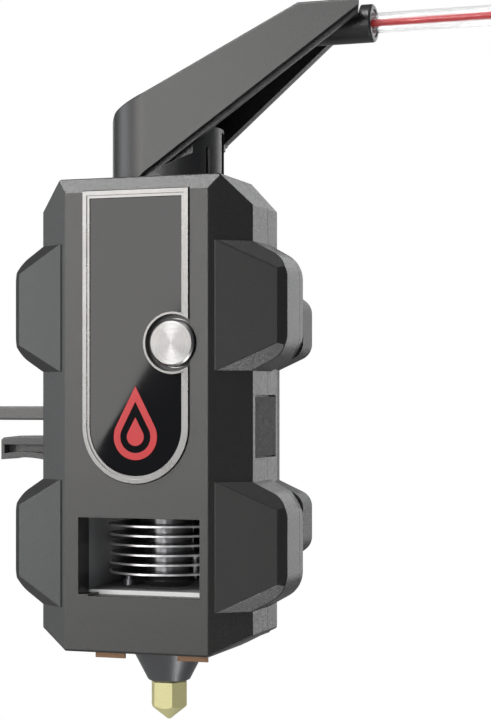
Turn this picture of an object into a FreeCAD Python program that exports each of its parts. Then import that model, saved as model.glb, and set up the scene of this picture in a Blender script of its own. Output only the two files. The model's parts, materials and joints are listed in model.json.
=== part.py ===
import FreeCAD, Part
import math
import os
import re
import Sketcher
from FreeCAD import Placement, Rotation, Vector

doc = FreeCAD.newDocument("hotend")

# ---------------------------------------------------------------------------
# Driving dimensions, in millimetres. The origin is the middle of the docking
# face: +X right, +Y out of the docking face, +Z up.
# ---------------------------------------------------------------------------
SIZES = {
    # housing outline
    "front_y": -28.7, "seam_y": -10.5, "rear_y": -3.0, "chamfer_y": -22.07,
    "face_half": 18.5, "body_half": 27.5, "top_half": 20.7,
    "bottom_z": -54.9, "side_low_z": -50.3, "side_top_z": 53.0,
    "face_top_z": 56.6, "bevel_y": -26.55, "top_z": 60.3,
    "wall": 2.2, "seam_gap": 0.06, "edge_round": 0.6,
    # wings on the corners
    "wing_mid_z": 28.8, "wing_half_z": 15.5, "wing_side_z": 10.9, "wing_out_x": 35.7,
    "wing_in_x": 16, "wing_tip_x": 20.1, "wing_tip_y": -27.95, "wing_edge_x": 33.8,
    "wing_edge_y": -22.47, "wing_side_y": -20.56, "wing_rear_y": -7.8, "wing_round": 7,
    # docking plate and its ears
    "ear_low_z": 13.4, "ear_low_side_z": 17.6, "ear_top_side_z": 29.6, "ear_top_z": 33.6,
    "ear_round": 4, "plate_half": 27.2, "plate_half_z": 33.6,
    "boss_x": 22.3, "boss_low_z": -45.5, "boss_top_z": 47.5, "plate_screw_x": 23.2, "plate_screw_z": 30.5,
    "bolt_x": 31.2, "bolt_z": 23.5, "bolt_hole_r": 1.7,
    # nose behind the docking face
    "nose_half": 19.5, "nose_y": 18, "nose_low_z": -54, "nose_top_z": -7, "nose_wall": 1.6, "loft_y": 11,
    # front recess, bezel, panel and emblem
    "bezel_half": 13.65, "bezel_top_z": 56.8, "bezel_mid_z": -0.2, "bezel_width": 1.75,
    "bezel_rim": 1.05, "bezel_step": 0.25, "button_gap": 1.2,
    "bezel_y": -29.2, "panel_y": -28.7, "recess_y": -27.2, "trim_gap": 0.2,
    "emblem_r": 5.6, "emblem_tip": 12.2, "emblem_line": 1.7, "emblem_proud": 0.12,
    # push button and its switch
    "button_x": 9.6, "button_z": 19.9, "button_r": 5.7, "button_y": -30, "flange_r": 7.2,
    "ring_r": 7.46, "hole_r": 6.0, "board_y": -23.2, "board_thick": 1.2,
    # window and hot end, all on one vertical axis
    "axis_y": -6.2, "window_left": -15, "window_right": 16.4, "window_low": -40.9,
    "window_top": -22.25, "jamb_y": -22.2, "fin_r": 15, "fin_thick": 0.5, "fin_pitch": 2.35,
    "fin_low_z": -36.75, "core_r": 6.2, "neck_r": 4.4, "collar_r": 7, "collar_low_z": -40,
    "insulator_low": -42.3, "insulator_top": -40.3, "sill_left": -12.4, "sill_step": 0.45, "duct_half": 16.6,
    "duct_wall": 1.2,
    "duct_top": -16.4, "block_top": -43.5, "block_low": -52, "block_half": 8,
    "shield_half": 14.8, "shield_front": -18.6, "shield_sheet": 0.6, "lip_low": -57.5, "lip_notch": 6.9,
    "shroud_top_r": 9.85, "shroud_low_r": 5.3, "shroud_core_r": 8.2, "shroud_top": -55.1, "shroud_low": -64.3,
    "hex_flat": 8.2, "hex_top": -64.4, "hex_low": -70.9, "tip_z": -73.85, "tip_r": 0.4,
    "orifice_r": 0.2, "filament_r": 0.875, "liner_r": 2,
    # fan
    "fan_z": -25, "fan_half": 15, "fan_front_y": 9.4, "fan_thick": 7, "fan_bore_r": 14,
    "hub_r": 6.5, "blade_r": 13.5,
    # motor, drive gear, idler
    "drive_x": -6.3, "drive_z": 14, "motor_half": 17.5, "motor_y": -20.8, "chassis_y": -9.8,
    "chassis_thick": 1, "shaft_r": 2.5, "gear_r": 5.4, "gear_hub_r": 4.6, "gear_teeth": 26,
    "idler_x": 5.9, "idler_r": 5, "idler_y": -7.9, "idler_thick": 3.4, "idler_pin_r": 1.5,
    "pivot_x": 8, "pivot_z": -6, "pivot_r": 1.5, "arm_y": -4.3, "arm_thick": 1.1,
    "encoder_x": -4.9, "encoder_z": 38, "encoder_r": 4, "encoder_axle_r": 1,
    # grip bar and release tab on the left side
    "bar_end_x": -52, "bar_low_z": 1.2, "bar_top_z": 4.7, "bar_front_y": -11.7, "bar_rear_y": -1.7,
    "tab_end_x": -44.05, "tab_bend_x": -38.8, "tab_root_x": -28.6, "tab_low_z": -8.9, "tab_top_z": -2.8,
    "tab_front_y": -11.7,
    "tab_arch_x": -37.9, "tab_arch_r": 32, "tab_arch_rise": 0.55,
    # swivel and arm
    "spigot_r": 8, "running_gap": 0.05, "bush_r": 10.6, "tower_low_z": 60.7, "tower_r": 13.8,
    "tower_core_r": 9.6, "hood_half": 13, "hood_end_r": 14.3, "hood_wall": 1.6, "hood_corner_r": 5, "hood_end_x": -1.31, "hood_top_z": 101.3,
    "liner_wall": 1.2, "liner_gap": 0.2, "liner_drop": 1.7, "socket_z": 97.7,
    "socket_r": 4.6, "socket_in_x": 37.6, "socket_flat_x": 50.5, "socket_out_x": 53.4, "tube_r": 2.45, "tube_bore_r": 1.5,
    "tube_end_x": 95, "fitting_end_x": 108, "fitting_r": 5,
}

sheet = doc.addObject("Spreadsheet::Sheet", "Sizes")
for row, (alias, value) in enumerate(SIZES.items(), start=1):
    sheet.set(f"A{row}", alias)
    sheet.set(f"B{row}", str(value))
    sheet.setAlias(f"B{row}", alias)
doc.recompute()

WORD = re.compile(r"[a-z][a-z_]*[a-z]")
NODES = {}


# ---------------------------------------------------------------------------
# Small helpers: every length is an expression in the sheet's aliases
# ---------------------------------------------------------------------------
def linked(expression):
    """Turn 'wall * 2' into 'Sizes.wall * 2'."""
    return WORD.sub(lambda word: "Sizes." * (word.group() in SIZES) + word.group(), str(expression))


def bind(item, **properties):
    for name, expression in properties.items():
        item.setExpression(name.replace("__", "."), linked(expression))
    return item


def locate(item, x=0, y=0, z=0):
    return bind(item, Placement__Base__x=x, Placement__Base__y=y, Placement__Base__z=z)


def node(name, item):
    """Name a finished sub-part: the label is the node's file name."""
    item.Label = name
    NODES[name] = item
    return item


def box(x, y, z):
    """A box from three (low, high) pairs."""
    item = doc.addObject("Part::Box", "Box")
    bind(item, Length=f"({x[1]}) - ({x[0]})", Width=f"({y[1]}) - ({y[0]})", Height=f"({z[1]}) - ({z[0]})")
    return locate(item, x[0], y[0], z[0])


TURN = {
    "X": Rotation(Vector(0, 0, 1), Vector(1, 0, 0)),
    "Y": Rotation(Vector(0, 0, 1), Vector(0, 1, 0)),
    "Z": Rotation(),
}


def rod(direction, radius, x, y, z):
    """A cylinder along one axis: that axis gets a (low, high) pair, the others a place."""
    item = doc.addObject("Part::Cylinder", "Rod")
    span = {"X": x, "Y": y, "Z": z}[direction]
    item.Placement = Placement(Vector(), TURN[direction])
    bind(item, Radius=radius, Height=f"({span[1]}) - ({span[0]})")
    start = [span[0] if axis == direction else value for axis, value in zip("XYZ", (x, y, z))]
    return locate(item, *start)


def cone(direction, radius_low, radius_high, x, y, z):
    item = doc.addObject("Part::Cone", "Cone")
    span = {"X": x, "Y": y, "Z": z}[direction]
    item.Placement = Placement(Vector(), TURN[direction])
    bind(item, Radius1=radius_low, Radius2=radius_high, Height=f"({span[1]}) - ({span[0]})")
    start = [span[0] if axis == direction else value for axis, value in zip("XYZ", (x, y, z))]
    return locate(item, *start)


def fuse(*shapes):
    item = doc.addObject("Part::MultiFuse", "Fuse")
    item.Shapes = list(shapes)
    return item


def common(*shapes):
    item = doc.addObject("Part::MultiCommon", "Common")
    item.Shapes = list(shapes)
    return item


def cut(base, *tools):
    item = doc.addObject("Part::Cut", "Cut")
    item.Base = base
    item.Tool = tools[0] if len(tools) == 1 else fuse(*tools)
    return item


def group(*shapes):
    """Several separate solids in one node."""
    item = doc.addObject("Part::Compound", "Group")
    item.Links = list(shapes)
    return item


def mirrored(source, normal):
    item = doc.addObject("Part::Mirroring", "Mirrored")
    item.Source = source
    item.Normal = normal
    return item


def rounded(base, radius, chosen):
    """Fillet the edges of base for which chosen(edge) is true."""
    doc.recompute()
    item = doc.addObject("Part::Fillet", "Round")
    item.Base = base
    size = float(getattr(sheet, radius))
    item.Edges = [(i, size, size) for i, edge in enumerate(base.Shape.Edges, 1) if chosen(edge)]
    return item


def role_of(body, role):
    return next(item for item in body.Origin.OriginFeatures if item.Role == role)


def polygon_sketch(body, plane, points):
    """A closed outline whose corners are tied to the sheet."""
    sketch = body.newObject("Sketcher::SketchObject", "Outline")
    sketch.AttachmentSupport = [(role_of(body, plane), "")]
    sketch.MapMode = "FlatFace"
    count = len(points)
    ring = [Vector(math.cos(2 * math.pi * i / count), math.sin(2 * math.pi * i / count), 0) * 50
            for i in range(count)]
    for i in range(count):
        sketch.addGeometry(Part.LineSegment(ring[i], ring[(i + 1) % count]), False)
    for i in range(count):
        sketch.addConstraint(Sketcher.Constraint("Coincident", i, 2, (i + 1) % count, 1))
    for i, (across, up) in enumerate(points):
        for kind, expression, place in (("DistanceX", across, ring[i].x), ("DistanceY", up, ring[i].y)):
            index = sketch.addConstraint(Sketcher.Constraint(kind, -1, 1, i, 1, place))
            sketch.setExpression(f"Constraints[{index}]", linked(expression))
    return sketch


def prism(plane, points, low, high):
    """Pad an outline between two offsets along the axis across its plane."""
    body = doc.addObject("PartDesign::Body", "Prism")
    sketch = polygon_sketch(body, plane, points)
    pad = body.newObject("PartDesign::Pad", "Pad")
    pad.Profile = sketch
    pad.Reversed = plane == "XZ_Plane"
    bind(pad, Length=f"({high}) - ({low})")
    offset = {"XY_Plane": {"z": low}, "XZ_Plane": {"y": low}, "YZ_Plane": {"x": low}}[plane]
    return locate(body, **offset)


def turned(points, x=0, y="axis_y", z=0):
    """Revolve an outline of (radius, height) corners about a vertical axis."""
    body = doc.addObject("PartDesign::Body", "Turned")
    sketch = polygon_sketch(body, "XZ_Plane", points)
    spin = body.newObject("PartDesign::Revolution", "Revolution")
    spin.Profile = sketch
    spin.ReferenceAxis = (sketch, ["V_Axis"])
    spin.Angle = 360
    return locate(body, x, y, z)


# ---------------------------------------------------------------------------
# Housing: an octagonal column with four wings, split into shells by depth
# ---------------------------------------------------------------------------
def column(inset, low_y, high_y):
    """The body's outer solid, or its cavity when inset by the wall. The factors are the
    mitre offsets of its sloping sides."""
    face, side = f"(face_half - 0.33 * {inset})", f"(body_half - {inset})"
    slope_y = f"(chamfer_y + 0.5 * {inset})"
    plan = prism("XY_Plane", [(f"-{face}", low_y), (face, low_y), (side, slope_y), (side, high_y),
                              (f"-{side}", high_y), (f"-{side}", slope_y)], "bottom_z", "top_z")
    foot, shoulder = f"(face_half - 0.24 * {inset})", f"(top_half - 0.43 * {inset})"
    low, low_side = f"(bottom_z + {inset})", f"(side_low_z + 0.62 * {inset})"
    top, top_side = f"(top_z - {inset})", f"(side_top_z - 0.39 * {inset})"
    front = prism("XZ_Plane", [(f"-{foot}", low), (foot, low), (side, low_side), (side, top_side),
                               (shoulder, top), (f"-{shoulder}", top), (f"-{side}", top_side),
                               (f"-{side}", low_side)], low_y, high_y)
    profile = prism("YZ_Plane", [(low_y, low), (high_y, low), (high_y, top), (f"bevel_y + 0.5 * {inset}",
                                                                              top),
                                 (low_y, f"face_top_z - 0.7 * {inset}")], "-body_half", "body_half")
    return common(plan, front, profile)


def size(name):
    return float(getattr(sheet, name))


def on_plane(edge, axis, value, gap=0.01):
    box = edge.BoundBox
    low, high = getattr(box, axis + "Min"), getattr(box, axis + "Max")
    return abs(low - value) < gap and abs(high - value) < gap


def corner_wing():
    """One wing at the upper right: a raised plateau with bevelled edges."""
    plan = prism("XY_Plane", [("wing_in_x", "wing_rear_y"), ("wing_in_x", "wing_side_y"),
                              ("wing_tip_x - 0.5", "wing_tip_y + 0.35"), ("wing_tip_x", "wing_tip_y"),
                              ("wing_edge_x", "wing_edge_y"), ("wing_out_x", "wing_side_y"),
                              ("wing_out_x", "wing_rear_y")], 0, "top_z")
    high, side = "wing_mid_z + wing_half_z", "wing_mid_z + wing_side_z"
    low, low_side = "wing_mid_z - wing_half_z", "wing_mid_z - wing_side_z"
    outline = prism("XZ_Plane", [("wing_in_x", low), ("body_half", low), ("wing_out_x", low_side),
                                 ("wing_out_x", side), ("body_half", high), ("wing_in_x", high)],
                    "front_y", "wing_rear_y")
    outline = rounded(outline, "wing_round",
                      lambda edge: on_plane(edge, "X", size("wing_out_x")) and edge.BoundBox.YLength > 5)
    block = common(plan, outline)
    # the bevels above and below the plateau lie in planes through its tip
    slopes = []
    tip = Vector(size("wing_tip_x"), size("wing_tip_y"), 0)
    for sign in (1, -1):
        slope = doc.addObject("Part::Box", "Slope")
        bind(slope, Length="body_half * 2", Width="body_half * 2", Height="body_half")
        turn = Rotation(Vector(0, 0, 1), Vector(0.524, -0.676, 0.518 * sign))
        corner = Vector(tip.x, tip.y, size("wing_mid_z") + sign * (size("wing_half_z") + 0.1))
        slope.Placement = Placement(corner - turn.multVec(Vector(size("body_half"), size("body_half"), 0)),
                                    turn)
        slopes.append(slope)
    wing = cut(block, *slopes)
    return rounded(wing, "edge_round", lambda edge: edge.BoundBox.XMax > size("wing_out_x") - 3
                   and edge.BoundBox.YMax < size("wing_rear_y") - 10)


def four_times(source):
    """A piece at the upper right, and its mirror images in the other corners."""
    left = mirrored(source, Vector(1, 0, 0))
    return [source, left, mirrored(source, Vector(0, 0, 1)), mirrored(left, Vector(0, 0, 1))]


body_column = rounded(column("0", "front_y", "rear_y"), "edge_round",
                      lambda edge: not on_plane(edge, "Y", size("rear_y")))
outer = fuse(body_column, *four_times(corner_wing()))
cavity = column("wall", "(front_y + wall)", "(rear_y - 1)")
wing_pocket = box(("body_half - wall - 1", "wing_edge_x - wall"), ("wing_side_y + wall", "seam_y"),
                  ("wing_mid_z - wing_side_z + 2", "wing_mid_z + wing_side_z - 2"))
window = fuse(box(("window_left", "window_right"), ("front_y - 1", "jamb_y + 1"), ("window_low",
                                                                                   "window_top")),
              box(("sill_left", "window_right"), ("front_y - 1", "jamb_y + 1"),
                  ("window_low - sill_step", "window_low + 1")))
jamb = cut(box(("window_left - 2.5", "window_right + 2.5"), ("front_y + 1", "jamb_y"),
               ("window_low - 2.5", "window_top + 2.5")), window)
hot_opening = box(("-shield_half - trim_gap", "shield_half + trim_gap"), ("shield_front - trim_gap", "1"),
                  ("bottom_z - 1", "bottom_z + wall + 1"))
bush_hole = rod("Z", "bush_r", "0", "axis_y", ("top_z - wall - 1", "top_z + 1"))


def stadium(half, top, low_y, high_y):
    """A plate with a square top and a half-round foot, as the bezel and the panel are."""
    plate = box((f"-({half})", half), (low_y, high_y), ("bezel_mid_z", top))
    return fuse(plate, rod("Y", half, "0", (low_y, high_y), "bezel_mid_z"))


recess = stadium("bezel_half + trim_gap", "bezel_top_z + trim_gap", "front_y - 1", "recess_y")
button_hole = rod("Y", "hole_r", "button_x", ("front_y - 1", "front_y + wall + 1"), "button_z")
side_recesses = [box(span_x, ("-20.1", "-4.2"), ("-7.7", "7.5")) for span_x in
                 (("-body_half - 1", "-body_half + 1"), ("body_half - 1", "body_half + 1"))]
lever_slot = box(("-body_half - 1", "-body_half + wall + 1"), ("arm_y - 0.4", "rear_y + 1"), ("-9.5", "0"))
bar_hole = box(("-body_half - 1", "-body_half + wall + 1"), ("-9", "-5.5"), ("bar_low_z + 0.5",
                                                                             "bar_top_z - 0.5"))
SHELL_SCREWS = [(x, z) for x in ("-boss_x", "boss_x") for z in ("boss_low_z", "boss_top_z")]
PLATE_SCREWS = [(x, z) for x in ("-plate_screw_x", "plate_screw_x") for z in ("-plate_screw_z",
                                                                              "plate_screw_z")]
corner_screw_holes = [rod("Y", "1.35", x, ("seam_y - 8", "rear_y + 1"), z) for x, z in SHELL_SCREWS]
corner_screw_holes += [rod("Y", "1.35", x, ("rear_y - 5", "rear_y + 1"), z) for x, z in PLATE_SCREWS]
screw_bosses = [common(rod("Y", "3.6", x, ("seam_y - 9", "rear_y"), z), body_column) for x, z in SHELL_SCREWS]
screw_bosses += [common(rod("Y", "2.4", x, ("rear_y - 5.6", "rear_y"), z), body_column) for x,
                 z in PLATE_SCREWS]
rear_openings = [box(("-19", "19"), ("rear_y - 1.5", "rear_y + 1"), ("-11", "33")),
                 box(("-body_half + wall", "-18"), ("rear_y - 1.5", "rear_y + 1"), ("-11", "2")),
                 box(("-13", "13"), ("rear_y - 1.5", "rear_y + 1"), ("40", "top_z - wall")),
                 box(("-nose_half + 0.1", "nose_half - 0.1"), ("rear_y - 1.5", "rear_y + 1"),
                     ("nose_low_z - 2", "nose_top_z"))]
ear_holes = [rod("Y", "bolt_hole_r", x, ("wing_rear_y - 2", "1"), z)
             for x in ("-bolt_x", "bolt_x") for z in ("-bolt_z", "bolt_z")]

shell_solid = cut(fuse(cut(outer, cavity, *four_times(wing_pocket)), jamb, *screw_bosses),
                  window, hot_opening, bush_hole, recess, button_hole, *side_recesses,
                  lever_slot, bar_hole, *rear_openings, *corner_screw_holes, *ear_holes)
front_half = box(("-60", "60"), ("front_y - 5", "seam_y - seam_gap"), ("bottom_z - 5", "top_z + 5"))
rear_half = box(("-60", "60"), ("seam_y + seam_gap", "rear_y + 5"), ("bottom_z - 5", "top_z + 5"))
node("front_shell", common(shell_solid, front_half))
node("rear_shell", common(shell_solid, rear_half))

for side, (low_x, high_x) in {"left": ("-body_half", "-body_half + 0.95"),
                              "right": ("body_half - 0.95", "body_half")}.items():
    panel = box((low_x, high_x), ("-19.9", "-4.4"), ("-7.4", "7.1"))
    node(f"side_panel_{side}", cut(panel, bar_hole) if side == "left" else panel)

# ---------------------------------------------------------------------------
# Docking plate with ears, and the nose that carries the fan
# ---------------------------------------------------------------------------
ear_outline = prism("XZ_Plane", [("body_half - 1", "ear_low_z"), ("wing_out_x", "ear_low_side_z"),
                                 ("wing_out_x", "ear_top_side_z"), ("body_half + 3", "ear_top_z"),
                                 ("body_half - 1", "ear_top_z")], "wing_rear_y + seam_gap", "0")
ear_outline = rounded(ear_outline, "ear_round", lambda edge: edge.BoundBox.YLength > 5
                      and edge.BoundBox.XMin > size("body_half") + 2)
ear = cut(ear_outline, box(("0", "body_half + 0.1"), ("wing_rear_y - 1", "rear_y + seam_gap"), ("0", "50")))
plate = box(("-plate_half", "plate_half"), ("rear_y + seam_gap", "0"), ("-plate_half_z", "plate_half_z"))
nose_hole = box(("-nose_half", "nose_half"), ("rear_y - 1", "1"), ("nose_low_z - 1", "nose_top_z"))
plate_screw_holes = [fuse(rod("Y", "1.35", x, ("rear_y - 1", "1"), z), rod("Y", "2.4", x, ("-1.6", "1"), z))
                     for x, z in PLATE_SCREWS]
magnet_x = ("-16", "16")
magnet_holes = [rod("Y", "3.05", x, ("-2", "1"), "0") for x in magnet_x]
contact_hole = box(("-9.1", "9.1"), ("rear_y - 1", "1"), ("13.9", "24.1"))
node("dock_plate", cut(fuse(plate, *four_times(ear)), nose_hole, contact_hole, *ear_holes,
                       *plate_screw_holes, *magnet_holes))
node("dock_magnets", group(*[rod("Y", "3", x, ("-2", "-0.05"), "0") for x in magnet_x]))

nose_outer = rounded(box(("-nose_half + 0.1", "nose_half - 0.1"), ("rear_y + 0.2", "nose_y"),
                         ("nose_low_z", "nose_top_z - 0.1")),
                     "wall", lambda edge: on_plane(edge, "Y", size("nose_y")))
nose_cavity = box(("-nose_half + nose_wall", "nose_half - nose_wall"), ("rear_y - 1", "nose_y - nose_wall"),
                  ("nose_low_z - 1", "nose_top_z - nose_wall"))
slots = [box(("-11", "11"), ("nose_y - 3", "nose_y + 1"), (f"fan_z - 11.5 + {k} * 4",
                                                           f"fan_z - 9.3 + {k} * 4"))
         for k in range(6)]
node("rear_housing", cut(nose_outer, nose_cavity, *slots))

# the block above the docking face that carries the back of the swivel
loft = rounded(box(("-15.8", "15.8"), ("rear_y + 0.1", "loft_y"), ("plate_half_z + 1", "top_z")), "wall",
               lambda edge: edge.BoundBox.YMax > size("rear_y") + 1 and edge.BoundBox.ZMax > size("plate_half_z") + 2)
loft_cavity = box(("-15.8 + wall", "15.8 - wall"), ("rear_y - 1", "loft_y - wall"),
                  ("plate_half_z + 1 + wall", "top_z - wall"))
node("swivel_housing", cut(loft, loft_cavity, bush_hole))

# ---------------------------------------------------------------------------
# Bezel, glass panel, emblem and push button
# ---------------------------------------------------------------------------
frame_outer = stadium("bezel_half", "bezel_top_z", "bezel_y", "recess_y - 0.05")
frame_inner = stadium("bezel_half - bezel_width", "bezel_top_z - bezel_width", "bezel_y - 1", "recess_y + 1")
frame_step = stadium("bezel_half - bezel_rim", "bezel_top_z - bezel_rim", "bezel_y - 1",
                     "bezel_y + bezel_step")
button_ring = common(rod("Y", "ring_r", "button_x", ("bezel_y", "recess_y - 0.05"), "button_z"), frame_outer)
bezel_bore = rod("Y", "button_r + button_gap", "button_x", ("bezel_y - 1", "recess_y + 1"), "button_z")
node("bezel", cut(fuse(cut(frame_outer, frame_inner, frame_step), button_ring), bezel_bore))
glass = stadium("bezel_half - bezel_width - 0.05", "bezel_top_z - bezel_width - 0.05", "panel_y",
                "recess_y - 0.05")
node("front_panel", cut(glass, rod("Y", "ring_r + 0.05", "button_x", ("panel_y - 1", "recess_y + 1"),
                                   "button_z")))


def drop(radius, tip, low_y, high_y):
    """A plain drop: a disc with a point on top. The point's sides are tangent to the disc."""
    sine = f"(({radius}) / ({tip}))"
    across = f"({radius}) * sqrt(1 - {sine} * {sine})"
    point = prism("XZ_Plane", [(0, f"({tip}) - 2.6"), (f"({across})", f"({radius}) * {sine} - 2.6"),
                               (f"-({across})", f"({radius}) * {sine} - 2.6")], low_y, high_y)
    return fuse(rod("Y", radius, "0", (low_y, high_y), "-2.6"), point)


emblem_span = ("panel_y - emblem_proud", "panel_y")
band = cut(drop("emblem_r", "emblem_tip", *emblem_span),
           drop("emblem_r - emblem_line", "emblem_tip - emblem_line * 2.2", "panel_y - 1", "panel_y + 1"))
core = drop("emblem_r - emblem_line * 2", "emblem_tip - emblem_line * 4.4", *emblem_span)
node("emblem", group(band, core))

cap = turned([(0, "0"), ("button_r - 0.5", "0"), ("button_r", "0.5"), ("button_r", "3.6"), ("flange_r",
                                                                                            "3.6"),
              ("flange_r", "4.4"), (0, "4.4")], "button_x", "button_y", "button_z")
cap.Placement = Placement(Vector(), Rotation(Vector(1, 0, 0), -90))
node("button_cap", locate(cap, "button_x", "button_y", "button_z"))
board = box(("-15", "22"), ("board_y", "board_y + board_thick"), ("-12", "48"))
node("control_board", board)
switch_body = box(("button_x - 3", "button_x + 3"), ("board_y - 1", "board_y"), ("button_z - 3",
                                                                                 "button_z + 3"))
plunger = rod("Y", "1.6", "button_x", ("button_y + 5.05", "board_y - 0.5"), "button_z")
node("tact_switch", fuse(switch_body, plunger))
chip_places = (("-10", "30", "4.5"), ("-9", "12", "3.5"), ("-4", "42", "2.5"), ("15", "38", "3"))
node("board_chips", group(*[box((f"{x} - {half}", f"{x} + {half}"), ("board_y + board_thick",
                                                                     "board_y + board_thick + 0.9"),
                                (f"{z} - {half}", f"{z} + {half}")) for x, z, half in chip_places]))

# ---------------------------------------------------------------------------
# Stepper motor, drive gear, idler and encoder on the chassis plate
# ---------------------------------------------------------------------------
chassis = box(("-24.4", "24.4"), ("chassis_y", "chassis_y + chassis_thick"), ("-11", "43"))
shaft_hole = rod("Y", "shaft_r + 1", "drive_x", ("chassis_y - 1", "chassis_y + 2"), "drive_z")
motor_bolts = [(f"drive_x + {dx}", f"drive_z + {dz}") for dx in (-13, 13) for dz in (-13, 13)]
bolt_holes = [rod("Y", "1.55", x, ("chassis_y - 1", "chassis_y + 2"), z) for x, z in motor_bolts]
pivot_hole = rod("Y", "pivot_r", "pivot_x", ("chassis_y - 1", "chassis_y + 2"), "pivot_z")
axle_hole = rod("Y", "encoder_axle_r", "encoder_x", ("chassis_y - 1", "chassis_y + 2"), "encoder_z")
node("chassis_plate", cut(chassis, shaft_hole, pivot_hole, axle_hole, *bolt_holes))

can = box(("drive_x - motor_half", "drive_x + motor_half"), ("motor_y", "chassis_y"),
          ("drive_z - motor_half", "drive_z + motor_half"))
can = rounded(can, "wall", lambda edge: edge.BoundBox.YLength > 5)
node("motor_body", cut(can, rod("Y", "shaft_r + 0.05", "drive_x", ("motor_y + 1.5", "chassis_y + 1"),
                                "drive_z"),
                       *[rod("Y", "1.45", x, ("chassis_y - 4", "chassis_y + 1"), z) for x, z in motor_bolts]))
node("motor_screws", group(*[fuse(rod("Y", "1.4", x, ("chassis_y - 3.5", "chassis_y + chassis_thick"), z),
                                  rod("Y", "2.5", x, ("chassis_y + chassis_thick",
                                                      "chassis_y + chassis_thick + 1.4"), z))
                             for x, z in motor_bolts]))
node("motor_shaft", rod("Y", "shaft_r", "drive_x", ("motor_y + 1.6", "-3.6"), "drive_z"))


def toothed_wheel(radius, bore, teeth, depth, low_y, high_y, x, z):
    """A wheel with pointed notches round its rim, turning about an axis along Y."""
    body = doc.addObject("PartDesign::Body", "Wheel")
    disc = body.newObject("Sketcher::SketchObject", "Disc")
    disc.AttachmentSupport = [(role_of(body, "XZ_Plane"), "")]
    disc.MapMode = "FlatFace"
    for index, width in enumerate((radius, bore)):
        disc.addGeometry(Part.Circle(Vector(), Vector(0, 0, 1), 5 - index), False)
        disc.addConstraint(Sketcher.Constraint("Coincident", index, 3, -1, 1))
        ring = disc.addConstraint(Sketcher.Constraint("Radius", index, 5 - index))
        disc.setExpression(f"Constraints[{ring}]", linked(width))
    pad = body.newObject("PartDesign::Pad", "Pad")
    pad.Profile = disc
    pad.Reversed = True
    bind(pad, Length=f"({high_y}) - ({low_y})")
    tip, edge = f"({radius}) - {depth}", f"({radius}) + 0.1"
    notch = polygon_sketch(body, "XZ_Plane", [(0, tip), (depth, edge), (-depth, edge)])
    doc.recompute()
    whole = pad.Shape.Volume
    pocket = body.newObject("PartDesign::Pocket", "Notch")
    pocket.Profile = notch
    pocket.Type = "ThroughAll"
    pocket.Reversed = True
    doc.recompute()
    if pocket.Shape.Volume > whole - 1e-6:
        pocket.Reversed = False
    pattern = body.newObject("PartDesign::PolarPattern", "Teeth")
    pattern.Originals = [pocket]
    pattern.Axis = (role_of(body, "Y_Axis"), [""])
    pattern.Angle = 360
    bind(pattern, Occurrences=teeth)
    body.Tip = pattern
    return locate(body, x, low_y, z)


node("drive_gear", toothed_wheel("gear_r", "shaft_r", "gear_teeth", 0.45, "-8.5", "-3.9", "drive_x",
                                 "drive_z"))

node("idler_bearing", cut(rod("Y", "idler_r", "idler_x", ("idler_y", "idler_y + idler_thick"), "drive_z"),
                          rod("Y", "idler_pin_r + running_gap", "idler_x", ("idler_y - 1", "idler_y + 5"),
                              "drive_z")))
node("idler_pin", fuse(rod("Y", "idler_pin_r", "idler_x", ("idler_y - 0.1", "arm_y + arm_thick"), "drive_z"),
                       rod("Y", "2.3", "idler_x", ("idler_y - 0.6", "idler_y - 0.1"), "drive_z")))
node("pivot_pin", rod("Y", "pivot_r", "pivot_x", ("chassis_y", "rear_y"), "pivot_z"))
arm_sheet = prism("XZ_Plane", [("-42", "-7.3"), ("-42", "-4.8"), ("-6", "-4.4"), ("2.2", "-1"), ("2.2",
                                                                                                 "drive_z + 3.4"),
                               ("9.2", "drive_z + 3.4"), ("12", "pivot_z + 1"), ("12", "pivot_z - 4"), ("-6",
                                                                                                        "-8.4")],
                  "arm_y", "arm_y + arm_thick")
node("idler_arm", cut(arm_sheet, rod("Y", "pivot_r + running_gap", "pivot_x", ("arm_y - 1", "rear_y"),
                                     "pivot_z"),
                      rod("Y", "idler_pin_r", "idler_x", ("arm_y - 1", "rear_y"), "drive_z")))
coil = cut(rod("Y", "3", "pivot_x", ("-8.6", "-4.7"), "pivot_z"),
           rod("Y", "pivot_r + 0.4", "pivot_x", ("-9", "-4"), "pivot_z"))
node("idler_spring", fuse(coil, rod("Z", "0.35", "pivot_x + 2.5", "-8.2", ("pivot_z", "pivot_z + 9"))))

tab_y = ("tab_front_y", "-1.9")
tab_arch_z = "tab_low_z + tab_arch_rise - tab_arch_r"
tab_block = prism("XZ_Plane", [("tab_root_x", "tab_low_z"), ("tab_root_x", "tab_top_z"), ("tab_bend_x",
                                                                                          "tab_top_z"),
                               ("tab_end_x + 0.5", "tab_top_z - 0.5"), ("tab_end_x", "tab_top_z - 0.9"),
                               ("tab_end_x", "tab_low_z")], *tab_y)
tab_block = rounded(tab_block, "edge_round",
                    lambda edge: on_plane(edge, "Y",
                                          size("tab_front_y")) and edge.CenterOfMass.z > size("tab_top_z") - 0.8)
tab_body = cut(tab_block, rod("Y", "tab_arch_r", "tab_arch_x", ("tab_front_y - 1", "0"), tab_arch_z))
tab_hollow = cut(box(("tab_end_x + 0.9", "tab_root_x - 1.2"), ("tab_front_y - 1", "-8.6"),
                     ("tab_low_z + 1.6", "tab_top_z - 2.3")),
                 rod("Y", "tab_arch_r + 1.4", "tab_arch_x", ("tab_front_y - 2", "-8"), tab_arch_z))
node("release_tab", cut(tab_body, tab_hollow, arm_sheet))
bar = box(("bar_end_x", "-body_half - 0.02"), ("bar_front_y", "bar_rear_y"), ("bar_low_z", "bar_top_z"))
bar = rounded(bar, "edge_round", lambda edge: not on_plane(edge, "X", -size("body_half") - 0.02))
tenon = box(("-body_half - 0.5", "-body_half + wall"), ("-8.9", "-5.6"), ("bar_low_z + 0.6",
                                                                          "bar_top_z - 0.6"))
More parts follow.
